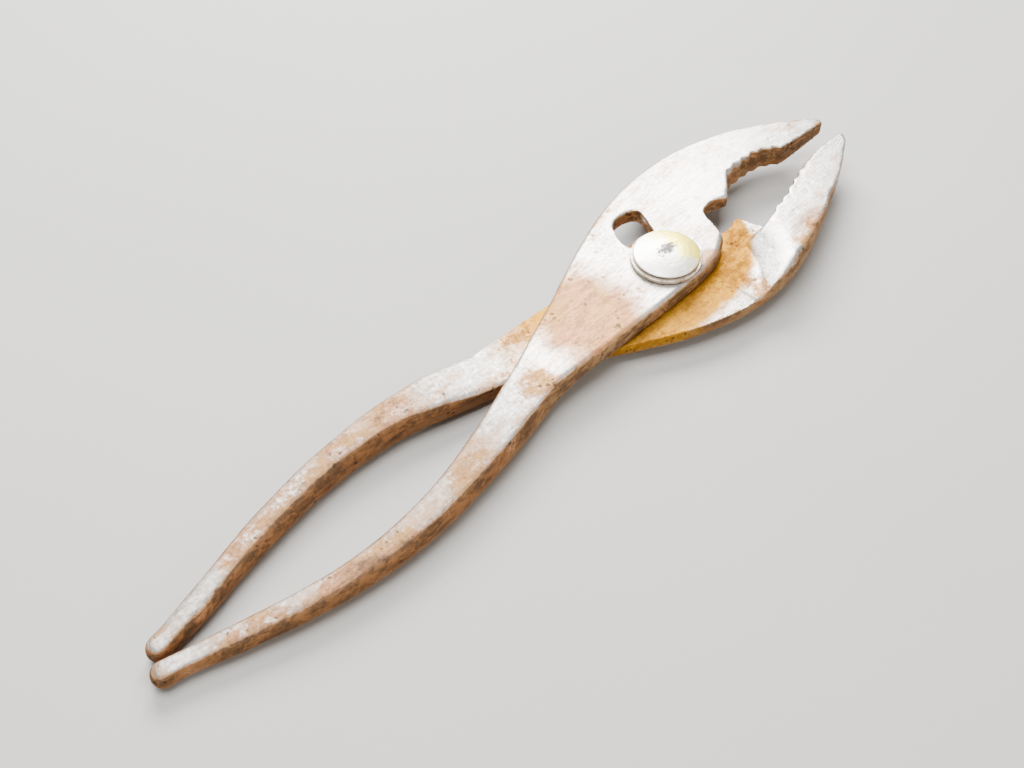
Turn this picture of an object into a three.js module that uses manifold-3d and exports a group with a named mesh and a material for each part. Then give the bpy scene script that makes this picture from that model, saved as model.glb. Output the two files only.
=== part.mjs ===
// Slip-joint combination pliers, 200 mm long, lying on their pivot nut with the handles closed.
// Frame, millimetres: the pivot axis is Z, +X runs to the jaw tips, +Y to the outer side of the front
// lever's jaw, and Z = 0 is the outer face of the pivot nut.
import * as THREE from 'three';
import { mergeVertices } from 'three/addons/utils/BufferGeometryUtils.js';
import Module from 'manifold-3d';

const wasm = await Module();
wasm.setup();

// Heights of the stack at the joint
const NUT_HEIGHT = 2.4;
const PLAY = 0.2; // clearance between neighbours
const PLATE = 3.7; // thickness of each lever at the joint
const WASHER_THICKNESS = 0.75;
const HEAD_RIM = 0.6;
const HEAD_DOME = 1;
const HEAD_BEVEL = 0.3;

const BACK_LOW = NUT_HEIGHT + PLAY;
const BACK_HIGH = BACK_LOW + PLATE;
const FRONT_LOW = BACK_HIGH + PLAY;
const FRONT_HIGH = FRONT_LOW + PLATE;
const WASHER_LOW = FRONT_HIGH + PLAY;
const HEAD_LOW = WASHER_LOW + WASHER_THICKNESS + PLAY;
const MIDDLE = (BACK_LOW + FRONT_HIGH) / 2;

// Pivot
const HEAD_RADIUS = 7.3;
const WASHER_RADIUS = 7.9;
const SHANK_RADIUS = 4.2;
const SHANK_FLAT = 2.6; // half the distance across the two flats
const THREAD_RADIUS = 2.6;
const NUT_ACROSS_FLATS = 11.5;
const NUT_CHAMFER = [0.85, 0.5]; // inwards at the corners, and in height
const SEAT_RADIUS = 4.4;
const NECK = 3.1; // half the width of the slot's neck
const WIDE_TO_NARROW = new THREE.Vector2(2.2, 11.3); // from the seat in use to the free one

// Jaws
const TIP_X = 65.1;
const TAPER_START = 22; // the jaws grow thinner from here to the tips
const TIP_THICKNESS = 3.6;
const GRIP_TEETH = 6;
const NOSE_TEETH = 10;
const GRIP_TOOTH = 0.65;
const NOSE_TOOTH = 0.15; // worn almost smooth
const NOSE_START = 48.4;
const TOOTH_END = 62.5;

// Handles
const RING_CORNERS = 20;
const HANDLE_STEPS = 44;
const END_ROUNDNESS = 0.62;
const JOINT_ROUNDNESS = 0.3;

const EDGE = 1.6; // rounding of the outer edges
const COVE = 1; // hollow rounding where each lever steps down to half thickness
const FAR = 60; // cutting shapes reach this far past the part

const polygon = (points) => new THREE.Shape(points.map(([x, y]) => new THREE.Vector2(x, y)));

// A smooth open line through hand-placed points
const smooth = (points, steps) => new THREE.SplineCurve(points.map(([x, y]) => new THREE.Vector2(x, y)))
  .getPoints(steps)
  .map((p) => [p.x, p.y]);

// A smooth closed outline through hand-placed points
function closedOutline(points, steps) {
  const curve = new THREE.CatmullRomCurve3(points.map(([x, y]) => new THREE.Vector3(x, y, 0)), true);
  return polygon(curve.getSpacedPoints(steps).slice(0, -1).map((p) => [p.x, p.y]));
}

// The same line with a tooth cut every other step, sideways by depth on the line's left
function toothed(points, teeth, depth) {
  const curve = new THREE.SplineCurve(points.map(([x, y]) => new THREE.Vector2(x, y)));
  const line = [];
  for (let i = 0; i <= 2 * teeth; i += 1) {
    const p = curve.getPointAt(i / (2 * teeth));
    const t = curve.getTangentAt(i / (2 * teeth));
    const shift = i % 2 ? depth : 0;
    line.push([p.x - t.y * shift, p.y + t.x * shift]);
  }
  return line;
}

function extrude(shape, low, high) {
  const geometry = new THREE.ExtrudeGeometry(shape, { depth: high - low, bevelEnabled: false });
  geometry.translate(0, 0, low);
  return geometry;
}

function extrudeRounded(shape, low, high, edge, steps) {
  const geometry = new THREE.ExtrudeGeometry(shape, {
    depth: high - low - 2 * edge,
    bevelThickness: edge,
    bevelSize: 0.8 * edge,
    bevelOffset: -0.8 * edge,
    bevelSegments: steps,
  });
  geometry.translate(0, 0, low + edge);
  return geometry;
}

function solid(geometry) {
  const bare = geometry.clone();
  bare.deleteAttribute('normal');
  bare.deleteAttribute('uv');
  const merged = mergeVertices(bare, 1e-4);
  return new wasm.Manifold(new wasm.Mesh({
    numProp: 3,
    vertProperties: new Float32Array(merged.attributes.position.array),
    triVerts: new Uint32Array(merged.index.array),
  }));
}

function meshOf(name, body, colour, roughness, metalness) {
  const result = body.getMesh();
  const geometry = new THREE.BufferGeometry();
  geometry.setAttribute('position', new THREE.BufferAttribute(new Float32Array(result.vertProperties), 3));
  geometry.setIndex(new THREE.BufferAttribute(new Uint32Array(result.triVerts), 1));
  const material = new THREE.MeshStandardMaterial({ color: colour, roughness, metalness });
  const mesh = new THREE.Mesh(geometry, material);
  mesh.name = name;
  return mesh;
}

// One ring of a handle: a rounded rectangle between two heights, square to the handle's line.
// An ellipse has roundness 1 and a sharp rectangle 0.
function ring(centre, across, width, low, high, roundness) {
  const points = [];
  for (let i = 0; i < RING_CORNERS; i += 1) {
    const a = ((i + 0.5) / RING_CORNERS) * 2 * Math.PI;
    const squarish = (v) => Math.sign(v) * Math.abs(v) ** roundness;
    const side = squarish(Math.cos(a)) * width / 2;
    const height = (low + high) / 2 + squarish(Math.sin(a)) * (high - low) / 2;
    points.push([centre.x + across.x * side, centre.y + across.y * side, height]);
  }
  return points;
}

// A handle through stations [x, y, width, low, high], closed by a round end at the first one
function handle(stations) {
  const line = new THREE.CatmullRomCurve3(
    stations.map(([x, y]) => new THREE.Vector3(x, y, 0)), false, 'catmullrom');
  const size = new THREE.CatmullRomCurve3(
    stations.map(([, , width, low, high]) => new THREE.Vector3(width, low, high)), false, 'catmullrom');
  const rings = [];
  for (const turn of [75, 50, 25]) {
    const lean = THREE.MathUtils.degToRad(turn);
    const [x, y, width, low, high] = stations[0];
    const along = line.getTangent(0);
    const back = Math.sin(lean) * width / 2;
    const shrink = Math.cos(lean);
    const mid = (low + high) / 2;
    rings.push(ring(
      { x: x - along.x * back, y: y - along.y * back }, { x: -along.y, y: along.x }, width * shrink,
      mid - (mid - low) * shrink, mid + (high - mid) * shrink, END_ROUNDNESS));
  }
  for (let i = 0; i <= HANDLE_STEPS; i += 1) {
    const t = i / HANDLE_STEPS;
    const p = line.getPoint(t);
    const along = line.getTangent(t);
    const s = size.getPoint(t);
    const nearJoint = THREE.MathUtils.smoothstep(t, 0.3, 0.85);
    const roundness = THREE.MathUtils.lerp(END_ROUNDNESS, JOINT_ROUNDNESS, nearJoint);
    rings.push(ring(p, { x: -along.y, y: along.x }, s.x, s.y, s.z, roundness));
  }
  const vertices = rings.flat(2);
  const faces = [];
  for (let r = 0; r + 1 < rings.length; r += 1) {
    for (let i = 0; i < RING_CORNERS; i += 1) {
      const a = r * RING_CORNERS + i;
      const b = r * RING_CORNERS + (i + 1) % RING_CORNERS;
      faces.push(a, b, b + RING_CORNERS, a, b + RING_CORNERS, a + RING_CORNERS);
    }
  }
  const last = (rings.length - 1) * RING_CORNERS;
  for (let i = 1; i + 1 < RING_CORNERS; i += 1) {
    faces.push(0, i + 1, i);
    faces.push(last, last + i, last + i + 1);
  }
  const geometry = new THREE.BufferGeometry();
  geometry.setAttribute('position', new THREE.Float32BufferAttribute(vertices, 3));
  geometry.setIndex(faces);
  return geometry;
}

// What is left of the joint plate and jaw after the jaws are thinned towards the tips
function sideProfile() {
  const drop = (FRONT_HIGH - BACK_LOW - TIP_THICKNESS) / 2;
  const taper = [];
  for (let i = 0; i <= 8; i += 1) {
    taper.push([THREE.MathUtils.lerp(TAPER_START, TIP_X, i / 8), drop * (i / 8) ** 1.5]);
  }
  const shape = polygon([
    [-FAR, BACK_LOW - 1], [0, BACK_LOW - 1],
    ...taper.map(([x, down]) => [x, BACK_LOW + down]),
    ...taper.toReversed().map(([x, down]) => [x, FRONT_HIGH - down]),
    [0, FRONT_HIGH + 1], [-FAR, FRONT_HIGH + 1],
  ]);
  const geometry = new THREE.ExtrudeGeometry(shape, { depth: 2 * FAR, bevelEnabled: false });
  geometry.rotateX(Math.PI / 2);
  geometry.translate(0, FAR, 0);
  return solid(geometry);
}

// The bolt's shank in the slot: a round with two flats along the slot
function shankShape(grow) {
  const lean = Math.atan2(WIDE_TO_NARROW.y, WIDE_TO_NARROW.x);
  const radius = SHANK_RADIUS + grow;
  const half = Math.asin((SHANK_FLAT + grow) / radius);
  const points = [];
  for (const side of [0, Math.PI]) {
    for (let i = 0; i <= 8; i += 1) {
      const a = lean + side - half + (2 * half * i) / 8;
      points.push([radius * Math.cos(a), radius * Math.sin(a)]);
    }
  }
  return polygon(points);
}

// The seat not in use, worn oval where the shank turns in it, with the mouth of the neck
const freeSeat = [
  [-2.3, 7.2], [-2.75, 8.3], [-2.85, 9.4], [-2.7, 10.5], [-2.2, 11.8], [-1.5, 13.2], [-0.5, 14.6],
  [1, 15.7], [2.6, 16.1], [4.2, 16], [5.7, 15.6], [6.9, 14.9], [7.4, 14], [7.2, 13], [6.8, 12],
  [6.4, 10.7], [5.6, 9.2], [4.75, 7.6],
];

// The round seat in use and the oval one, joined by a neck that only the bolt's flats pass
function slipSlot() {
  const lean = Math.atan2(WIDE_TO_NARROW.y, WIDE_TO_NARROW.x);
  const along = 0.7 * WIDE_TO_NARROW.length();
  const neck = new THREE.BoxGeometry(along, 2 * NECK, 2 * FAR);
  neck.translate(along / 2, 0, 0);
  neck.rotateZ(lean);
  const seat = new THREE.CylinderGeometry(SEAT_RADIUS, SEAT_RADIUS, 2 * FAR, 32);
  seat.rotateX(Math.PI / 2);
  return solid(extrude(closedOutline(freeSeat, 44), -FAR, FAR)).add(solid(seat)).add(solid(neck));
}

// Front lever: upper jaw in plan, lower handle, upper half of the joint
const frontBlank = [
  [-54, -3.2], [-50, -0.2], [-44, 2.9], [-40, 4.5], [-35, 6.5], [-28, 9.1], [-20, 12.5], [-10, 16.6],
  [0, 20], [10, 22.2], [20, 22.9], [28, 22.3], [36.6, 20.3], [45, 17.4], [53.4, 13.3], [60, 9.1],
  [63.6, 6.5], [64.9, 5.1], [64, 3.8], [55, 2.2], [45, 1.5], [35, 1], [25, 0], [19, -2], [14.5, -4.6],
  [9.5, -7.1], [4, -8.1], [-4, -8.3], [-16, -8.1], [-28, -7.8], [-38, -7.3], [-46, -7.3], [-51, -6],
];
const frontNotch = [
  [14.2, -9], [14.9, -3.4], [15.6, -1.5], [16.3, 0.9], [17.1, 3], [18.3, 4.1], [20, 4.5], [21.6, 4.5],
  [23.2, 4], [24.3, 3.4],
];
const frontWall = [[25.4, 2.9], [28.3, 5.4], [30.8, 7.6]];
const frontGrip = [
  [31.2, 7.9], [34, 8.4], [37.4, 8.4], [40.1, 8.3], [42.9, 7.9], [45.4, 6.9], [47, 5.8],
  [NOSE_START, 4.9],
];
const frontNose = [[NOSE_START, 4.9], [52.5, 4.5], [TOOTH_END, 4.05]];
// Where the lower half is cut away for the back lever to turn and slip in
const frontLap = [
  [-56, 40], [-56, -20], [-30, -30], [29, -4], [28.8, 5], [28.4, 8.7], [22.4, 8.7], [21.2, 9.3],
  [20.6, 11], [20.4, 13.5], [19.9, 16], [17.6, 19], [14.5, 21.6], [13, 26], [12, 40],
];
// Where the back lever's own plate keeps the handle's lower side out
const frontCrossing = [
  [-52, 40], [-52, 6], [-48, 3.4], [-44, 1.4], [-38, -0.95], [-32, -3.7], [-26, -6.5], [-21, -9.85],
  [-15, -12], [0, 40],
];
const frontHandle = [
  [-134.2, -0.9, 4.4, 4.3, 8.6], [-130, -1.9, 4, 4.4, 8.6], [-120, -4.8, 4.4, 4.1, 8.9],
  [-110, -7.6, 4.8, 3.8, 9.2], [-100, -9.6, 5.2, 3.4, 9.4], [-90, -10.4, 5.7, 3.2, 9.5],
  [-80, -10.1, 6.3, 3, 9.6], [-70, -8.8, 7.1, 2.9, 9.8], [-60, -6.7, 8.2, 2.8, 10],
  [-50, -4.1, 9.4, 3, 10.15], [-42, -2, 10.6, 3.6, 10.2], [-34, -0.9, 12.2, 4.7, 10.2],
  [-26, 0, 15.2, 5.9, 10.2],
];

// Back lever: lower jaw in plan, upper handle, lower half of the joint
const backBlank = [
  [-54, 10.2], [-50, 12.3], [-46, 12.8], [-38, 12.4], [-30, 11.9], [-20, 11.1], [-10, 10.9], [0, 11],
  [6, 10.7], [10, 9.8], [13, 8.2], [15.2, 5.6], [19, 3.4], [25, 2.4], [35, 1.6], [45, 1], [55, 0.6],
  [63.6, -0.2], [64.4, -1.3], [63.2, -3.2], [58.7, -5.9], [53.7, -8.7], [48.7, -10.9], [43.6, -12.8],
  [38.6, -15], [33.6, -16.8], [28.6, -18.4], [23.5, -19.6], [18.4, -20.3], [13.4, -20.5], [8.4, -20.2],
  [3.3, -19.4], [-1.7, -18], [-6.7, -16.3], [-11.7, -14.1], [-16.8, -11.4], [-21.8, -8.6], [-28, -5],
  [-35, -1.8], [-44, 2.4], [-51, 5.4],
];
const backNotch = [
  [14.4, 12], [15.6, 5.4], [16.2, 2.5], [17, 0.4], [18.2, -0.9], [20, -1.4], [21.7, -1.2], [23.2, -0.8],
  [24.3, -0.8],
];
const backWall = [[25, -1.2], [25.5, -2.8], [26.2, -4.8], [26.6, -6.4]];
const backGrip = [
  [27.2, -7.2], [29, -6.9], [31.4, -6.4], [35.2, -5.6], [38, -4.8], [41.6, -3.4], [44.6, -2.3],
  [NOSE_START, -1.4],
];
const backNose = [[NOSE_START, -1.4], [55, -1.05], [TOOTH_END, -0.75]];
// Where the upper half is cut away for the front lever to turn and slip in
const backLap = [
  [-56, -30], [9.4, -30], [9.6, -21.5], [11.4, -18.3], [14, -15.9], [16.7, -12.9], [18.5, -10],
  [19.6, -7.6], [23, -7.5], [27.4, -7.7], [30, 20], [10, 30], [-30, 30], [-56, 24],
];
const backHandle = [
  [-131.8, 3.7, 4.4, 3.9, 8.6], [-128, 4.3, 4.4, 3.7, 8.7], [-120, 6.1, 4.7, 3.3, 8.9],
  [-110, 8.6, 5.2, 3, 9.2], [-100, 10.6, 5.5, 2.8, 9.4], [-90, 12.1, 5.8, 2.7, 9.5],
  [-80, 12.6, 6.3, 2.6, 9.6], [-70, 12.2, 7.2, 2.6, 9.6], [-60, 10.6, 8.9, 2.6, 8.8],
  [-52, 8.9, 10, BACK_LOW, 7.4], [-45, 7.5, 10.2, BACK_LOW, BACK_HIGH],
  [-38, 6, 11, BACK_LOW, BACK_HIGH],
];

// side is +1 where the jaw's gripping edge faces -Y and -1 where it faces +Y
function lever(part) {
  const edge = [
    ...smooth(part.notch, 24),
    ...smooth(part.wall, 6),
    ...toothed(part.grip, GRIP_TEETH, part.side * GRIP_TOOTH),
    ...toothed(part.nose, NOSE_TEETH, part.side * NOSE_TOOTH).slice(1),
    [TIP_X + 2, part.nose[2][1]],
    [TIP_X + 2, -part.side * FAR],
    [part.notch[0][0], -part.side * FAR],
  ];
  const plate = solid(extrudeRounded(closedOutline(part.blank, 120), BACK_LOW, FRONT_HIGH, EDGE, 3))
    .intersect(sideProfile())
    .subtract(solid(extrudeRounded(polygon(part.lap), part.lapLow, part.lapHigh, COVE, 4)))
    .subtract(solid(extrude(polygon(edge), -FAR, FAR)));
  return plate.add(solid(handle(part.handle)));
}

function frontLever() {
  const part = {
    side: 1, blank: frontBlank, notch: frontNotch, wall: frontWall, grip: frontGrip, nose: frontNose,
    lap: frontLap, lapLow: -FAR, lapHigh: FRONT_LOW, handle: frontHandle,
  };
  const crossing = solid(extrude(polygon(frontCrossing), -FAR, FRONT_LOW));
  return meshOf('front_lever', lever(part).subtract(crossing).subtract(slipSlot()), 0xa89c90, 0.5, 0.8);
}

function backLever() {
  const part = {
    side: -1, blank: backBlank, notch: backNotch, wall: backWall, grip: backGrip, nose: backNose,
    lap: backLap, lapLow: BACK_HIGH, lapHigh: FAR, handle: backHandle,
  };
  const hole = solid(extrude(shankShape(PLAY), -FAR, FAR));
  return meshOf('back_lever', lever(part).subtract(hole), 0x9a7a58, 0.65, 0.6);
}

function lathe(profile, steps) {
  const geometry = new THREE.LatheGeometry(profile.map(([r, z]) => new THREE.Vector2(r, z)), steps);
  geometry.rotateX(Math.PI / 2);
  return geometry;
}

// A shallow spherical dome on a short rim, a flatted shank and a round threaded end
function pivotBolt() {
  const sphere = (HEAD_RADIUS ** 2 + HEAD_DOME ** 2) / (2 * HEAD_DOME);
  const reach = Math.asin(HEAD_RADIUS / sphere);
  const profile = [[0, HEAD_LOW], [HEAD_RADIUS - HEAD_BEVEL, HEAD_LOW], [HEAD_RADIUS, HEAD_LOW + HEAD_BEVEL]];
  for (let i = 0; i <= 6; i += 1) {
    const a = reach * (1 - i / 6);
    profile.push([sphere * Math.sin(a), HEAD_LOW + HEAD_RIM + HEAD_DOME - sphere * (1 - Math.cos(a))]);
  }
  const shank = solid(extrude(shankShape(0), BACK_LOW, HEAD_LOW + HEAD_RIM));
  const round = new THREE.Shape().absarc(0, 0, THREAD_RADIUS, 0, 2 * Math.PI);
  const thread = solid(extrude(round, 0, BACK_LOW + 1));
  const body = solid(lathe(profile, 48)).add(shank).add(thread);
  return meshOf('pivot_bolt', body, 0xd8c890, 0.35, 0.9);
}

function pivotWasher() {
  const hole = SHANK_RADIUS + PLAY;
  const high = WASHER_LOW + WASHER_THICKNESS;
  const profile = [
    [hole, WASHER_LOW], [WASHER_RADIUS, WASHER_LOW], [WASHER_RADIUS, high], [hole, high], [hole, WASHER_LOW],
  ];
  return meshOf('pivot_washer', solid(lathe(profile, 48)), 0x8a6a48, 0.6, 0.7);
}

// A low hexagon whose corners are rounded off by a chamfer on its outer face
function pivotNut() {
  const corner = NUT_ACROSS_FLATS / Math.sqrt(3);
  const points = Array.from({ length: 6 }, (_, i) => {
    const a = ((i + 0.5) * Math.PI) / 3;
    return [corner * Math.cos(a), corner * Math.sin(a)];
  });
  const [inset, rise] = NUT_CHAMFER;
  const round = [[0, 0], [corner - inset, 0], [corner, rise], [corner, NUT_HEIGHT], [0, NUT_HEIGHT]];
  const bore = new THREE.Shape().absarc(0, 0, THREAD_RADIUS + PLAY, 0, 2 * Math.PI);
  const body = solid(extrude(polygon(points), 0, NUT_HEIGHT))
    .intersect(solid(lathe(round, 48)))
    .subtract(solid(extrude(bore, -1, NUT_HEIGHT + 1)));
  return meshOf('pivot_nut', body, 0x7a5a40, 0.7, 0.6);
}

const group = new THREE.Group();
group.add(backLever(), frontLever(), pivotBolt(), pivotWasher(), pivotNut());

export default group;
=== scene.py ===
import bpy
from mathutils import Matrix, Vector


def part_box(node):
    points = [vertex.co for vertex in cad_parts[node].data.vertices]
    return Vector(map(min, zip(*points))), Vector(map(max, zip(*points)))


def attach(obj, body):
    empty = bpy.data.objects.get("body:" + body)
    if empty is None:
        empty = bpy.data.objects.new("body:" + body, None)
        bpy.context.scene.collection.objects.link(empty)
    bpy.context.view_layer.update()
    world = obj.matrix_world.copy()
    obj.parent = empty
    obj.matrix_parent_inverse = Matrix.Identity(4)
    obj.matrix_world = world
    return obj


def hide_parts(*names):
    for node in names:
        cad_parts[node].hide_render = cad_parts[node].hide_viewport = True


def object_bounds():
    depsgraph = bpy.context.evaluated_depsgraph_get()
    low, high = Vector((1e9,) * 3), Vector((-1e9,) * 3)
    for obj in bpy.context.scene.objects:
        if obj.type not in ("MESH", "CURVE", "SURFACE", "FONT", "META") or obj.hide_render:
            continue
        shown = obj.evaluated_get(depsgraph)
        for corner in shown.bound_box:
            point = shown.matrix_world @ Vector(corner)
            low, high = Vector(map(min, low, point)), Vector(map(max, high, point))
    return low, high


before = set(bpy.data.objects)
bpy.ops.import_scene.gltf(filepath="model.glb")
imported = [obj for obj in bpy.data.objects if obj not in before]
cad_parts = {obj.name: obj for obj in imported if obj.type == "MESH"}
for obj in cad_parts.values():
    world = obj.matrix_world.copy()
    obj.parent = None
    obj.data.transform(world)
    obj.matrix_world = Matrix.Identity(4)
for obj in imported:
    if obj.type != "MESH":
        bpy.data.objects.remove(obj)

from types import SimpleNamespace

import bpy
import numpy as np
from mathutils import Vector

cad_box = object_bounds()
MM = 0.001
scene = bpy.context.scene

# Camera, in millimetres of the CAD frame
CAMERA_AT = (-166.8, -116.1, 209.3)
CAMERA_AIM = (-43.5, 4.1, 1.9)
LENS = 45.7
SENSOR = 36.0

# Levers, in millimetres of the CAD frame
VOXEL = 0.3  # size of the small faces that the levers are remeshed with
JOINT_MIDDLE = 6.4  # height of the forging line along the handles
FORGED_FROM = -40  # X where the plate turns into the handle
FORGED_TO = -62  # X from where on it is all handle
HELD_FROM = -34  # the same for the colours: X where the handling marks begin
HELD_TO = -62  # X from where on they are at their strongest
ROUND_END = -122  # X where the handles narrow to their round ends
MOST_GROWTH = 0.4  # the furthest that wear and forging may push the surface out

# Shapes of the noise
FIRST_CELL = 500.0  # keeps every cell number well above zero
LAYER_SUM = 1.75  # what three layers add up to: 1 + 1/2 + 1/4

# Floor
CLEAR_OF_JOINT = -50 * MM  # X behind which only the handles can touch the floor
FLOOR_GAP = 0.05 * MM
FLOOR_HALF = 3.0  # metres


# ---------------------------------------------------------------- noise in numpy

def lattice(cell, seed):
    """One repeatable random number from -1 to 1 for each whole-number cell."""
    mixed = cell[:, 0] * 374761393 + cell[:, 1] * 668265263 + cell[:, 2] * 1274126177 + seed * 144269
    mixed = (mixed ^ (mixed >> 13)) & 0x7FFFFFFF
    mixed = (mixed * 1103515245 + 12345) & 0x7FFFFFFF
    mixed = (mixed ^ (mixed >> 16)) & 0xFFFF
    return mixed / 32767.5 - 1.0


def noise(points, size, seed=0):
    """Smooth noise from -1 to 1 with features about size long, which may differ by axis."""
    scaled = points / np.asarray(size) + FIRST_CELL
    cell = np.floor(scaled).astype(np.int64)
    t = scaled - cell
    t = t * t * (3 - 2 * t)
    total = np.zeros(len(points))
    for corner in np.ndindex(2, 2, 2):
        weight = np.prod(np.where(corner, t, 1 - t), axis=1)
        total += weight * lattice(cell + np.array(corner), seed)
    return total


def layered(points, size, seed=0, layers=3):
    """Noise at size and at ever finer scales, each half as strong as the one before."""
    size = np.asarray(size, dtype=float)
    return sum(noise(points, size / 2 ** k, seed + k) / 2 ** k for k in range(layers)) / LAYER_SUM


def pits(points, cell_size, radius, share, seed=0):
    """Round corrosion pits: 0 away from them, 1 at the middle of a deep one."""
    scaled = points / cell_size + FIRST_CELL
    home = np.floor(scaled).astype(np.int64)
    deepest = np.zeros(len(points))
    for step in np.ndindex(3, 3, 3):
        cell = home + np.array(step) - 1
        centre = cell + 0.5 + 0.4 * np.stack([lattice(cell, seed + k) for k in range(3)], axis=1)
        chance = lattice(cell, seed + 3) * 0.5 + 0.5
        reach = radius / cell_size * (0.5 + 0.5 * chance / max(share, 1e-6))
        away = np.linalg.norm(scaled - centre, axis=1)
        bowl = np.clip(1 - (away / np.maximum(reach, 1e-6)) ** 2, 0, 1) ** 1.5
        deepest = np.maximum(deepest, np.where(chance < share, bowl * (0.4 + 0.6 * chance / share), 0))
    return deepest


def smoothstep(low, high, value):
    """0 at low, 1 at high and smooth between them; low may be the larger of the two."""
    t = np.clip((value - low) / (high - low), 0, 1)
    return t * t * (3 - 2 * t)


# ---------------------------------------------------------------- meshes

def new_object(name, mesh):
    obj = bpy.data.objects.new(name, mesh)
    scene.collection.objects.link(obj)
    return obj


def coordinates(mesh):
    """Every vertex in millimetres."""
    flat = np.empty(len(mesh.vertices) * 3)
    mesh.vertices.foreach_get("co", flat)
    return flat.reshape(-1, 3) / MM


def normals(mesh):
    flat = np.empty(len(mesh.vertices) * 3)
    mesh.vertex_normals.foreach_get("vector", flat)
    return flat.reshape(-1, 3)


def set_coordinates(mesh, points):
    """Moves the vertices to points, in millimetres, kept inside the CAD box."""
    low, high = (np.array(corner) / MM for corner in cad_box)
    mesh.vertices.foreach_set("co", (np.clip(points, low, high) * MM).ravel())
    mesh.update()


def evenly_meshed(mesh, voxel, rounds):
    """The same closed shape in small even faces, with its edges averaged round."""
    draft = new_object("draft", mesh)
    grid = draft.modifiers.new("grid", "REMESH")
    grid.mode = "VOXEL"
    grid.voxel_size = voxel * MM
    wear = draft.modifiers.new("wear", "SMOOTH")
    wear.factor = 0.5
    wear.iterations = rounds
    bpy.context.view_layer.update()
    shaped = draft.evaluated_get(bpy.context.evaluated_depsgraph_get())
    result = bpy.data.meshes.new_from_object(shaped)
    bpy.data.objects.remove(draft)
    return result


def remeshed(node, name, voxel, rounds, rubbed=None, softer=()):
    """A dense copy of a CAD node: rubbed down, then worn round, most of all at the softer places."""
    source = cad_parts[node]
    mesh = source.data.copy()
    mesh.transform(source.matrix_world)
    if rubbed:
        mesh = evenly_meshed(mesh, voxel, 0)
        set_coordinates(mesh, rubbed(coordinates(mesh)))
    mesh = evenly_meshed(mesh, voxel, rounds)
    mesh.name = name
    mesh.materials.clear()
    mesh.polygons.foreach_set("use_smooth", [True] * len(mesh.polygons))
    if softer:
        soften(mesh, softer)
    return new_object(name, mesh)


def soften(mesh, places):
    """Rubs the surface down round each place: middle, reach and how many rounds of averaging."""
    edges = np.empty(len(mesh.edges) * 2, dtype=np.int64)
    mesh.edges.foreach_get("vertices", edges)
    a, b = edges.reshape(-1, 2).T
    p = coordinates(mesh)
    share = np.bincount(a, minlength=len(p)) + np.bincount(b, minlength=len(p))
    for centre, reach, rounds in places:
        weight = smoothstep(1, 0.6, np.linalg.norm((p - centre) / reach, axis=1))[:, None]
        for _ in range(rounds):
            total = [np.bincount(a, p[b, k], len(p)) + np.bincount(b, p[a, k], len(p)) for k in range(3)]
            mean = np.stack(total, axis=1) / share[:, None]
            p = p + 0.5 * weight * (mean - p)
    set_coordinates(mesh, p)


def age_lever(obj, seed):
    """Forged and worn surface: slow waves, a forging line along the handle sides, nicks and rust pits."""
    p = coordinates(obj.data)
    n = normals(obj.data)
    x, z = p[:, 0], p[:, 2]
    on_handle = smoothstep(FORGED_FROM, FORGED_TO, x)
    sideways = 1 - smoothstep(0.45, 0.9, np.abs(n[:, 2]))
    top = smoothstep(0.7, 0.95, n[:, 2])
    # Slow waves and hammering, both stronger on the handles; depths in millimetres
    wave = layered(p, (16, 9, 9), seed) * (0.05 + 0.1 * on_handle)
    hammered = noise(p, (5, 3.2, 3.2), seed + 11) * (0.02 + 0.04 * on_handle)
    # The forging line: a low ridge along the handle sides that fades out at their ends
    line = JOINT_MIDDLE + 0.35 * noise(p, 14, seed + 20)
    crest = np.clip(1 - np.abs(z - line) / 2.2, 0, 1) * sideways * on_handle
    crest = crest * (0.42 - 0.3 * smoothstep(ROUND_END, ROUND_END - 8, x))
    # A rough skin and rust pits, fewer on top where the tool has been rubbed
    rough = layered(p, (1.6, 1.1, 1.1), seed + 5, 2) * (0.015 + 0.03 * sideways)
    corroded = smoothstep(-0.1, 0.6, layered(p, 10, seed + 30)) * (1 - 0.6 * top) + 0.25
    pitted = pits(p, 2.6, 1.0, 0.35, seed + 40) * 0.14 + pits(p, 1.2, 0.5, 0.3, seed + 50) * 0.05
    shift = crest - 0.06 + wave + hammered + rough - pitted * corroded
    set_coordinates(obj.data, p + n * np.minimum(shift, MOST_GROWTH)[:, None])


# The foot of the back lever's step, from its outer edge to the pipe grip
STEP_FOOT = [(9.4, -24), (9.6, -21.5), (11.4, -18.3), (14, -15.9), (16.7, -12.9), (18.5, -10), (19.6, -7.6)]
STEP_LOW = 6.7  # height of the slope at its foot
STEP_SLOPE = 0.6  # how much it rises for each millimetre away from its foot
CREST = 1.4  # how far the slope is rounded into the jaw's upper side
HUB_EDGE = 5.5  # X behind which the plate keeps its own height
HUB_FADE = 2.0  # over how far the rubbing fades out in front of it
HUB_LIFT = 9.0  # how far the limit is lifted there, which is well above the plate
FAR_OFF = 99.0  # further from the foot line than any point
# Where the back lever is rubbed softest: middle, reach and rounds of averaging.
# Along its step, at the step's inner end, its grip near the nose, its tip
BACK_SOFT = [
    ((10.2, -20, 8.4), (5, 5, 3.6), 30),
    ((16, -15, 8.4), (7, 7, 3.6), 30),
    ((22, -9, 9), (5, 4.5, 3.6), 40),
    ((25.5, -7.4, 9.4), (4, 2.4, 3.2), 25),
    ((46, -1.8, 6.4), (7.5, 4, 8), 45),
    ((63, -1, 6.4), (3, 3, 4), 10),
]
# The same for the front lever.
# The point between its grip and notch, its grip near the nose, the free seat's rim, its tip
FRONT_SOFT = [
    ((26, 3.4, 8), (2.4, 2.4, 6), 12),
    ((46, 6, 6.4), (5, 3, 6), 8),
    ((3, 16, 10), (6, 2.5, 2), 12),
    ((63.5, 4.6, 6.4), (2.5, 3, 4), 8),
]


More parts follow.
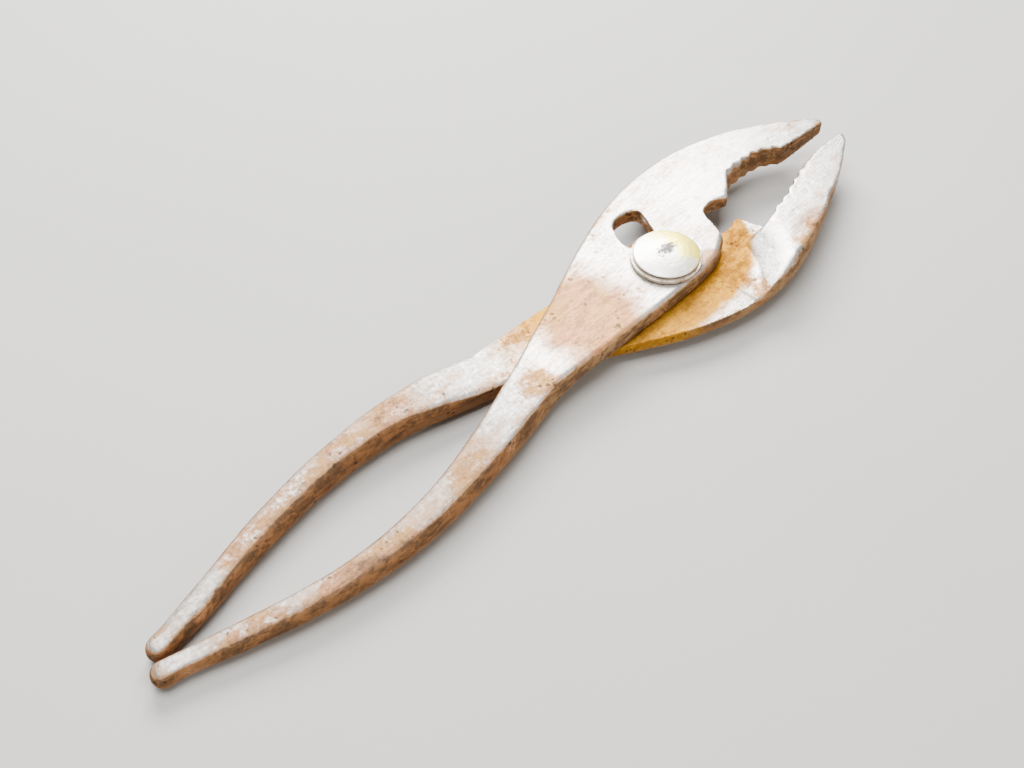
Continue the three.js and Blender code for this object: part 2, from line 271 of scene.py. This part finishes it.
def rub_shoulder(p):
    """Rubs the jaw's upper side down towards the foot of the step, so that it rises as a gentle slope."""
    away = np.full(len(p), FAR_OFF)
    ahead = np.zeros(len(p))
    # The distance to the foot line, and the side of it: ahead is above zero on the jaw's side
    for a, b in zip(np.array(STEP_FOOT[:-1]), np.array(STEP_FOOT[1:])):
        along = b - a
        t = np.clip((p[:, :2] - a) @ along / (along @ along), 0, 1)
        gap = p[:, :2] - (a + t[:, None] * along)
        distance = np.hypot(gap[:, 0], gap[:, 1])
        closer = distance < away
        away = np.where(closer, distance, away)
        ahead = np.where(closer, gap[:, 0] * along[1] - gap[:, 1] * along[0], ahead)
    rise = STEP_SLOPE * np.where(ahead >= 0, away, 0)
    # The lower of the surface and the limit, blended round over CREST
    limit = STEP_LOW + rise + HUB_LIFT * smoothstep(HUB_EDGE + HUB_FADE, HUB_EDGE, p[:, 0])
    share = np.clip(0.5 + 0.5 * (limit - p[:, 2]) / CREST, 0, 1)
    p[:, 2] = limit * (1 - share) + p[:, 2] * share - CREST * share * (1 - share)
    return p


def front_lever():
    obj = remeshed("front_lever", "front_lever_body", VOXEL, 3, softer=FRONT_SOFT)
    age_lever(obj, 3)
    obj.data.materials.append(lever_metal("front_steel", FRONT_PATCHES, FRONT_FILMS, 0.0, False))
    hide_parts("front_lever")
    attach(obj, "front")
    return obj


def back_lever():
    obj = remeshed("back_lever", "back_lever_body", VOXEL, 3, rub_shoulder, BACK_SOFT)
    age_lever(obj, 8)
    obj.data.materials.append(lever_metal("back_steel", BACK_PATCHES, BACK_FILMS, 0.03, True))
    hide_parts("back_lever")
    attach(obj, "back")
    return obj


def fitting(node, name, body, voxel, rounds, seed, material):
    """A small turned piece with worn edges, tool marks and light pitting."""
    obj = remeshed(node, name, voxel, rounds)
    p = coordinates(obj.data)
    n = normals(obj.data)
    dented = layered(p, 2.2, seed) * 0.035 + pits(p, 1.3, 0.5, 0.3, seed + 9) * -0.06
    set_coordinates(obj.data, p + n * (dented - 0.03)[:, None])
    obj.data.materials.append(material)
    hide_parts(node)
    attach(obj, body)


# ---------------------------------------------------------------- materials

class Nodes:
    """Short ways to add shader nodes to one material."""

    def __init__(self, name):
        self.material = bpy.data.materials.new(name)
        self.material.use_nodes = True
        self.tree = self.material.node_tree
        self.shader = self.tree.nodes["Principled BSDF"]
        place = self.tree.nodes.new("ShaderNodeTexCoord")
        self.normal = place.outputs["Normal"]
        self.place = self.vector("SCALE", place.outputs["Object"], scale=1 / MM)

    def put(self, socket, value):
        """Links a socket's value, sets a plain one and leaves None alone."""
        if isinstance(value, bpy.types.NodeSocket):
            self.tree.links.new(value, socket)
        elif value is not None:
            socket.default_value = value

    def vector(self, operation, a, b=None, scale=None):
        node = self.tree.nodes.new("ShaderNodeVectorMath")
        node.operation = operation
        self.put(node.inputs[0], a)
        self.put(node.inputs[1], b)
        if scale is not None:
            self.put(node.inputs["Scale"], scale)
        return node.outputs["Value" if operation in ("LENGTH", "DISTANCE", "DOT_PRODUCT") else "Vector"]

    def math(self, operation, a, b=None, c=None, clamp=False):
        node = self.tree.nodes.new("ShaderNodeMath")
        node.operation = operation
        node.use_clamp = clamp
        for socket, value in zip(node.inputs, (a, b, c)):
            self.put(socket, value)
        return node.outputs[0]

    def add(self, *values):
        total = values[0]
        for value in values[1:]:
            total = self.math("ADD", total, value)
        return total

    def times(self, a, b):
        return self.math("MULTIPLY", a, b)

    def step(self, value, low, high, bottom=0.0, top=1.0):
        """bottom at low, top at high and smooth between them; low may be the larger of the two."""
        node = self.tree.nodes.new("ShaderNodeMapRange")
        node.interpolation_type = "SMOOTHSTEP"
        for socket, given in zip(node.inputs, (value, low, high, bottom, top)):
            self.put(socket, given)
        return node.outputs[0]

    def mix(self, share, a, b):
        """Colour a where share is 0 and colour b where it is 1."""
        node = self.tree.nodes.new("ShaderNodeMix")
        node.data_type = "RGBA"
        self.put(node.inputs["Factor"], share)
        colours = [socket for socket in node.inputs if socket.type == "RGBA"]
        self.put(colours[0], a)
        self.put(colours[1], b)
        return [socket for socket in node.outputs if socket.type == "RGBA"][0]

    def noise(self, size, detail=3.0, rough=0.55, stretch=(1, 1, 1), twist=0.0, offset=0.0):
        """Noise around 0.5 with features about size millimetres across."""
        node = self.tree.nodes.new("ShaderNodeTexNoise")
        place = self.vector("MULTIPLY", self.place, tuple(1 / (size * s) for s in stretch))
        if offset:
            place = self.vector("ADD", place, (offset, offset * 1.7, offset * 2.3))
        self.put(node.inputs["Vector"], place)
        self.put(node.inputs["Scale"], 1.0)
        self.put(node.inputs["Detail"], detail)
        self.put(node.inputs["Roughness"], rough)
        self.put(node.inputs["Distortion"], twist)
        return node.outputs[0]

    def cells(self, size):
        """Distance to the nearest of many scattered points that lie about size millimetres apart."""
        node = self.tree.nodes.new("ShaderNodeTexVoronoi")
        self.put(node.inputs["Vector"], self.place)
        self.put(node.inputs["Scale"], 1 / size)
        return node.outputs["Distance"]

    def patch(self, centre, radius, strength, wander):
        """A soft spot of that strength around a place, with a ragged outline."""
        from_centre = self.vector("SUBTRACT", self.place, centre)
        squeezed = self.vector("DIVIDE", from_centre, radius)
        away = self.math("ADD", self.vector("LENGTH", squeezed), wander)
        return self.times(self.step(away, 1.25, 0.6), strength)

    def bump(self, height, depth):
        """A normal bent by a height map, whose 1 stands for depth millimetres."""
        node = self.tree.nodes.new("ShaderNodeBump")
        self.put(node.inputs["Height"], height)
        self.put(node.inputs["Distance"], depth * MM)
        self.put(node.inputs["Strength"], 1.0)
        return node.outputs["Normal"]

    def finish(self, colour, roughness, metallic, normal):
        self.put(self.shader.inputs["Base Color"], colour)
        self.put(self.shader.inputs["Roughness"], roughness)
        self.put(self.shader.inputs["Metallic"], metallic)
        self.put(self.shader.inputs["Normal"], normal)
        return self.material


# Colours of the metal, its dirt and its rust
STEEL = (0.74, 0.71, 0.67, 1)
DULL = (0.36, 0.33, 0.30, 1)
GREASE = (0.20, 0.175, 0.152, 1)
PINK = (0.46, 0.195, 0.07, 1)
TAN = (0.29, 0.12, 0.04, 1)
GOLD = (0.37, 0.175, 0.001, 1)
AMBER = (0.26, 0.105, 0.001, 1)
OCHRE = (0.23, 0.142, 0.072, 1)
ORANGE = (0.235, 0.108, 0.042, 1)
STRAW = (0.36, 0.19, 0.04, 1)
BUFF = (0.29, 0.18, 0.085, 1)
BROWN = (0.085, 0.047, 0.024, 1)
DARK = (0.03, 0.02, 0.014, 1)
SOOT = (0.06, 0.045, 0.05, 1)

# Rust that stands out on each lever, with painted light on some walls in shade and a painted shadow by the
# bolt head: middle, reach by axis, strength (below zero is brighter steel)
FRONT_PATCHES = [
    ((-25, 1.5, 10), (13, 15, 3), 0.14),
    ((-38.5, -1, 10), (3, 6, 3), -0.34),
    ((-45, -4, 10), (5, 4, 3), 0.22),
    ((-57, -7, 10), (6, 4, 3), -0.25),
    ((-68, -9.5, 9.5), (7, 4, 4), 0.22),
    ((-80, -10, 10), (5, 3, 3), -0.3),
    ((-91, -12, 9), (7, 4, 4), 0.2),
    ((-100.5, -11.5, 9), (8, 4, 4), 0.4),
    ((-119, -7, 9), (8, 4, 4), 0.28),
    ((-80, -14, 8), (14, 5, 4), 0.12),
    # Beside the bolt head, on its side away from the window: partly rust, partly the head's painted shadow
    ((7.2, -7.2, 10.5), (3, 3, 3), 0.1),
    # Painted light: lightens the slot's wall, which faces away from the window and lies in shade
    ((2.5, 14.5, 8), (6.5, 4.5, 6), -0.34),
    ((14, 10, 11), (20, 14, 3), -0.3),
    ((46, 10, 10.5), (26, 10, 3), -0.34),
    # Painted light: lightens the grip's inner wall, which faces away from the window and lies in shade
    ((34, 6, 6), (14, 5, 8), -0.1),
]
BACK_PATCHES = [
    ((-50, 8.5, 7.5), (8, 5, 4), -0.2),
    ((-70, 11.5, 9), (6, 4, 4), 0.3),
    ((-82, 11.5, 9), (8, 4, 4), 0.24),
    ((-95, 10.5, 9), (8, 4, 4), 0.16),
    ((-108, 8, 9), (8, 4, 4), 0.26),
    ((-121, 5, 9), (7, 4, 4), -0.15),
    ((24, -20, 6.5), (16, 4, 6), 0.2),
    ((25.5, -10.3, 10), (1.1, 0.6, 1.5), 0.3),
    ((17.5, -16.5, 10), (1.3, 0.8, 1.5), 0.36),
    ((34, -15.5, 8), (5, 2.6, 5), 0.4),
    # Painted light: lightens the step's wall and slope, which face away from the window and lie in shade
    ((18, -13, 9), (9, 8, 3), -0.8),
    ((42, -8, 10), (24, 8, 3.5), -0.4),
]

# Even pinkish tan films, one of them partly a painted shadow: middle, reach by axis, strength
FRONT_FILMS = [
    ((-24.5, 1.5, 10), (12.5, 15, 4), 1.0),
    ((-45, -4, 10), (4, 4, 4), 0.5),
    ((-66, -8, 10), (6, 5, 4), 0.6),
    ((-93, -10, 9), (24, 5, 5), 0.45),
    # Beside the bolt head: a tan film that is partly the head's painted shadow
    ((7.2, -7.2, 10.5), (3.4, 3.4, 3), 0.8),
]
BACK_FILMS = [
    ((-71, 12, 9), (9, 6, 5), 0.7),
    ((-84, 12.5, 9), (7, 5, 5), 0.6),
    ((33, -15, 9), (7, 3, 5), 0.5),
]


def rubbed_floor(m):
    """1 on the step of the back lever that the other lever sweeps, which is stained gold."""
    split = m.tree.nodes.new("ShaderNodeSeparateXYZ")
    m.put(split.inputs[0], m.place)
    # Its outer limit is a curve that bends in towards the jaw, and it fades out along the handle
    ahead = m.math("MAXIMUM", split.outputs["X"], 0.0)
    edge = m.math("MULTIPLY_ADD", m.math("POWER", ahead, 3.0), 0.00085, -16.0)
    inside = m.add(split.outputs["Y"], m.math("MULTIPLY", edge, -1.0), m.times(m.noise(3.5, 3, 0.6), 3.4))
    low = m.times(m.step(split.outputs["Z"], 9.6, 7.2), m.step(split.outputs["Z"], 2.5, 5))
    near = m.step(m.add(split.outputs["X"], m.times(m.noise(6, 3, 0.6, offset=1.9), 16)), -40, -20)
    return m.times(m.times(m.step(inside, 0.3, 3.2), low), near)


def lever_fields(m):
    """What every layer of a lever's metal is made from: directions, places, and noise from broad to fine."""
    facing = m.tree.nodes.new("ShaderNodeSeparateXYZ")
    m.put(facing.inputs[0], m.normal)
    spot = m.tree.nodes.new("ShaderNodeSeparateXYZ")
    m.put(spot.inputs[0], m.place)
    edges = m.tree.nodes.new("ShaderNodeNewGeometry").outputs["Pointiness"]
    # Noise sizes are in millimetres, and most of it is drawn out along the lever
    blotch = m.noise(4.2, 4, 0.62, stretch=(1.7, 1, 1), offset=3.1)
    return SimpleNamespace(
        up=m.step(facing.outputs["Z"], 0.35, 0.9),
        down=m.step(facing.outputs["Z"], -0.3, -0.9),
        height=spot.outputs["Z"],
        held=m.step(spot.outputs["X"], HELD_FROM, HELD_TO),
        worn_edge=m.step(edges, 0.515, 0.56),
        crevice=m.step(edges, 0.485, 0.45),
        broad=m.noise(15, 3, 0.55, stretch=(1.6, 1, 1)),
        blotch=blotch,
        around=m.math("SUBTRACT", blotch, 0.5),
        streak=m.noise(1.1, 5, 0.66, stretch=(3, 1, 1), twist=0.9, offset=2.2),
        fine=m.noise(0.9, 4, 0.68, offset=7.7),
        grain=m.noise(0.3, 3, 0.7, offset=1.3),
        scratch=m.noise(0.3, 2, 0.6, stretch=(14, 0.8, 1), twist=0.4, offset=5.2))


def rust_amount(m, f, patches, rustier):
    """Most on the sides, least on worn edges, moved about by noise and by the patches."""
    rust = m.add(
        m.times(m.math("SUBTRACT", 1.0, f.up), 0.62), m.times(m.math("SUBTRACT", f.broad, 0.5), 0.7),
        m.times(f.around, 0.8), m.times(m.math("SUBTRACT", f.fine, 0.5), 0.5),
        m.times(f.down, -0.4), m.times(f.worn_edge, -0.16), m.times(f.crevice, 0.2), 0.2 + rustier)
    wander = m.times(f.around, 1.3)
    for centre, radius, strength in patches:
        rust = m.math("ADD", rust, m.patch(centre, radius, strength, wander))
    upper_edge = m.times(m.times(f.up, m.math("SUBTRACT", 1.0, f.up)), m.times(f.held, 1.5))
    return m.math("ADD", rust, upper_edge)


def film_amount(m, f, rust, films):
    """Where a thin tan film lies: on light rust and in the given spots."""
    thin = m.step(rust, 0.26, 0.5)
    for centre, radius, strength in films:
        thin = m.math("MAXIMUM", thin, m.patch(centre, radius, strength, m.times(f.around, 1.1)))
    return thin


def steel_colour(m, f, rust):
    """The steel itself, dulled, soiled, tinted and scratched."""
    tired = m.step(rust, -0.25, 0.2, 0.35)
    dull = m.step(m.add(m.times(f.broad, 0.5), m.times(f.fine, 0.5)), 0.38, 0.64)
    soiled = m.step(m.add(m.times(f.blotch, 0.6), m.times(f.fine, 0.4)), 0.38, 0.62, 0.15, 0.75)
    tint = m.times(m.step(f.blotch, 0.5, 0.66), 0.45)
    streaked = m.times(m.step(f.streak, 0.54, 0.7), m.step(f.held, 0, 1, 0.35, 0.8))
    steel = m.mix(m.times(dull, tired), STEEL, DULL)
    steel = m.mix(m.times(f.held, soiled), steel, GREASE)
    steel = m.mix(m.times(tint, tired), steel, PINK)
    steel = m.mix(streaked, steel, GREASE)
    return m.mix(m.times(m.step(f.scratch, 0.5, 0.62), 0.4), steel, GREASE)


def film_colour(m, f):
    """Pinkish tan with straw-coloured and darker places."""
    film = m.mix(m.step(m.add(m.times(f.fine, 0.6), m.times(f.streak, 0.4)), 0.4, 0.6), PINK, TAN)
    film = m.mix(m.step(f.blotch, 0.44, 0.58, 0.1, 0.75), film, STRAW)
    return m.mix(m.times(m.step(f.streak, 0.48, 0.66), 0.55), film, ORANGE)


def rust_colour(m, f):
    """Mottled brown, lighter in a lower band along the sides, and lighter on plates and jaws."""
    mottle = m.add(m.times(f.streak, 0.45), m.times(f.blotch, 0.35), m.times(f.fine, 0.2))
    warm = m.mix(m.step(mottle, 0.42, 0.56), ORANGE, BROWN)
    warm = m.mix(m.times(m.step(f.fine, 0.54, 0.7), 0.35), warm, TAN)
    lower = m.step(m.add(f.height, m.times(f.around, 6)), JOINT_MIDDLE + 0.5, JOINT_MIDDLE - 1.5)
    warm = m.mix(m.times(lower, 0.6), warm, m.mix(m.step(f.streak, 0.4, 0.62), OCHRE, TAN))
    return m.mix(m.times(m.step(f.held, 1, 0), m.step(mottle, 0.55, 0.43, 0.1, 0.75)), warm, BUFF)


def rust_holes(m, f, rust, thin):
    """Dark pits in clusters, and small specks."""
    crowd = m.step(m.noise(5, 2, 0.5, offset=6.1), 0.48, 0.66)
    pit_wide = m.add(0.1, m.times(m.times(f.fine, crowd), 0.55))
    pit = m.step(m.math("SUBTRACT", pit_wide, m.cells(1.5)), 0.0, 0.16)
    eaten = m.step(m.add(rust, m.times(thin, 0.12), m.times(f.fine, 0.5)), 0.4, 0.85)
    speck = m.times(m.step(m.cells(0.6), 0.2, 0.1), m.step(m.add(rust, f.blotch), 0.65, 1.0))
    speck = m.times(speck, m.step(m.noise(3, 2, 0.5, offset=8.4), 0.45, 0.6))
    return m.times(m.times(pit, crowd), eaten), speck


def lever_metal(name, patches, films, rustier, stained):
    """Old forged steel: bright jaws and plates, greasy handles, tan films, rust on sides and in hollows."""
    m = Nodes(name)
    f = lever_fields(m)
    rust = rust_amount(m, f, patches, rustier)
    thin = film_amount(m, f, rust, films)
    deep = m.step(rust, 0.5, 0.74)
    rustiness = deep
    colour = m.mix(m.times(thin, 0.95), steel_colour(m, f, rust), film_colour(m, f))
    colour = m.mix(deep, colour, rust_colour(m, f))
    colour = m.mix(m.times(m.times(f.held, f.up), 0.14), colour, GREASE)
    if stained:
        gold = rubbed_floor(m)
        amber = m.mix(m.step(m.add(f.fine, f.around), 0.36, 0.66), GOLD, AMBER)
        colour = m.mix(m.times(gold, 0.97), colour, amber)
        rustiness = m.math("MAXIMUM", deep, gold)
    pit, speck = rust_holes(m, f, rust, thin)
    colour = m.mix(m.math("MAXIMUM", m.times(pit, 0.75), m.times(speck, 0.45)), colour, DARK)
    # Gloss: deep rust is rough and hardly metallic, the gold stain is rough, films and held steel lie between
    roughness = m.add(
        0.36, m.times(thin, 0.16), m.times(rustiness, 0.22), m.times(m.math("SUBTRACT", f.grain, 0.5), 0.25),
        m.times(m.math("SUBTRACT", f.streak, 0.5), 0.3), m.times(f.held, 0.14))
    less_bare = m.add(m.times(thin, 0.35), m.times(deep, 0.5), m.times(f.held, 0.22))
    metallic = m.math("SUBTRACT", 0.88, less_bare, clamp=True)
    matt = m.math("MAXIMUM", rustiness, m.times(m.math("MAXIMUM", f.held, thin), 0.4))
    m.put(m.shader.inputs["Specular IOR Level"], m.math("MULTIPLY_ADD", matt, -0.38, 0.5))
    height = m.add(
        m.times(f.fine, m.add(0.25, m.times(deep, 0.9))), m.times(f.grain, m.add(0.2, m.times(deep, 0.35))),
        m.times(pit, -0.9), m.times(speck, -0.35), m.times(f.scratch, 0.45))
    return m.finish(colour, roughness, metallic, m.bump(height, 0.13))


def fitting_metal(name, bright, stained, rust_level, tint_side, smudged=0.0):
    """Turned steel with a polished crown, straw-coloured staining and rust gathered at the rim."""
    m = Nodes(name)
    blotch = m.noise(3.2, 4, 0.6, offset=4.4)
    fine = m.noise(0.8, 4, 0.65, offset=9.1)
    split = m.tree.nodes.new("ShaderNodeSeparateXYZ")
    m.put(split.inputs[0], m.place)
    # The stained side, the outer rim and the hidden part under the head
    side = m.step(m.add(split.outputs["X"], m.times(m.math("SUBTRACT", blotch, 0.5), 9)), -0.5, 4)
    rim = m.step(m.vector("LENGTH", m.vector("MULTIPLY", m.place, (1, 1, 0))), 6.3, 7.4)
    hidden = m.step(split.outputs["Z"], 9, 7)
    colour = m.mix(m.times(side, tint_side), bright, stained)
    colour = m.mix(hidden, colour, m.mix(m.step(blotch, 0.4, 0.6), DULL, GREASE))
    # A dark smudge on the crown, and rust at the rim and below
    ragged = m.times(m.math("SUBTRACT", fine, 0.5), 3.6)
    smudge = m.times(m.patch((0.4, 0.3, 12.5), (2.6, 1.3, 4), 0.9, ragged), smudged)
    colour = m.mix(smudge, colour, SOOT)
    gathered = m.add(m.times(rim, 0.35), m.times(blotch, 0.6), m.times(fine, 0.35), m.times(hidden, 0.2))
    rusty = m.step(m.add(gathered, rust_level), 0.6, 0.9)
    colour = m.mix(rusty, colour, m.mix(m.step(fine, 0.4, 0.6), ORANGE, BROWN))
    roughness = m.add(0.3, m.times(rusty, 0.45), m.times(smudge, 0.3), m.times(fine, 0.12))
    metallic = m.math("SUBTRACT", 0.7, m.add(m.times(rusty, 0.3), m.times(smudge, 0.3)), clamp=True)
    height = m.add(m.times(fine, m.add(0.3, rusty)), m.times(m.noise(0.25, 2, 0.6), 0.2))
    return m.finish(colour, roughness, metallic, m.bump(height, 0.07))


# ---------------------------------------------------------------- studio

def pale_floor(pieces):
    """A pale floor that the nut and the handles rest on, so it leans a little against the tool's frame."""
    # The gentlest slope from the nut's edge to any point of the handles
    heel = -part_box("pivot_nut")[1].x / 2
    slope = 1.0  # steeper than any that the handles allow
    for obj in pieces:
        p = coordinates(obj.data) * MM
        beyond = p[p[:, 0] < CLEAR_OF_JOINT]
        if len(beyond):
            slope = min(slope, float(np.min(beyond[:, 2] / (heel - beyond[:, 0]))))
    mesh = bpy.data.meshes.new("floor")
    corners = [(sx * FLOOR_HALF, sy * FLOOR_HALF) for sx, sy in ((-1, -1), (1, -1), (1, 1), (-1, 1))]
    mesh.from_pydata([(x, y, -slope * (x - heel) - FLOOR_GAP) for x, y in corners], [], [(0, 1, 2, 3)])
    m = Nodes("floor_paint")
    tone = m.mix(m.noise(60, 2, 0.5), (0.37, 0.368, 0.363, 1), (0.39, 0.388, 0.383, 1))
    mesh.materials.append(m.finish(tone, 0.7, 0.0, m.bump(m.noise(1.2, 3, 0.6), 0.02)))
    floor = new_object("floor", mesh)


def area_light(name, place, aim, size, power, colour):
    """A soft rectangular light of that width and height; lengths in millimetres, power in watts."""
    lamp = bpy.data.lights.new(name, "AREA")
    lamp.shape = "RECTANGLE"
    lamp.size = size[0] * MM
    lamp.size_y = size[1] * MM
    lamp.energy = power
    lamp.color = colour
    obj = bpy.data.objects.new(name, lamp)
    obj.location = Vector(place) * MM
    obj.rotation_euler = (Vector(aim) - Vector(place)).to_track_quat("-Z", "Y").to_euler()
    scene.collection.objects.link(obj)


def lights():
    middle = (-35, 0, 5)
    area_light("window", (260, 360, 380), middle, (440, 300), 14.0, (1.0, 0.985, 0.97))
    area_light("overhead", (-120, 60, 620), middle, (400, 400), 8.0, (1.0, 0.98, 0.95))
    area_light("warm_side", (60, -480, 240), middle, (380, 300), 1.8, (1.0, 0.86, 0.7))
    world = bpy.data.worlds.new("soft_room")
    world.use_nodes = True
    world.node_tree.nodes["Background"].inputs["Color"].default_value = (0.80, 0.82, 0.85, 1)
    world.node_tree.nodes["Background"].inputs["Strength"].default_value = 0.36
    scene.world = world


def camera():
    lens = bpy.data.cameras.new("camera")
    lens.lens = LENS
    lens.sensor_width = SENSOR
    lens.clip_start = 0.01
    lens.clip_end = 20
    obj = bpy.data.objects.new("camera", lens)
    obj.location = Vector(CAMERA_AT) * MM
    obj.rotation_euler = (Vector(CAMERA_AIM) - Vector(CAMERA_AT)).to_track_quat("-Z", "Y").to_euler()
    scene.collection.objects.link(obj)
    scene.camera = obj


levers = [front_lever(), back_lever()]
head_metal = fitting_metal("head_steel", (0.84, 0.82, 0.78, 1), (1.0, 0.84, 0.12, 1), -0.2, 1.0, 1.0)
washer_metal = fitting_metal("washer_steel", (0.62, 0.55, 0.44, 1), OCHRE, -0.14, 0.5)
nut_metal = fitting_metal("nut_steel", DULL, TAN, 0.0, 0.5)
fitting("pivot_bolt", "bolt_body", "back", 0.16, 2, 60, head_metal)
fitting("pivot_washer", "washer_body", "washer", 0.14, 2, 70, washer_metal)
fitting("pivot_nut", "nut_body", "back", 0.16, 2, 80, nut_metal)
pale_floor(levers)
lights()
camera()

bpy.context.view_layer.update()
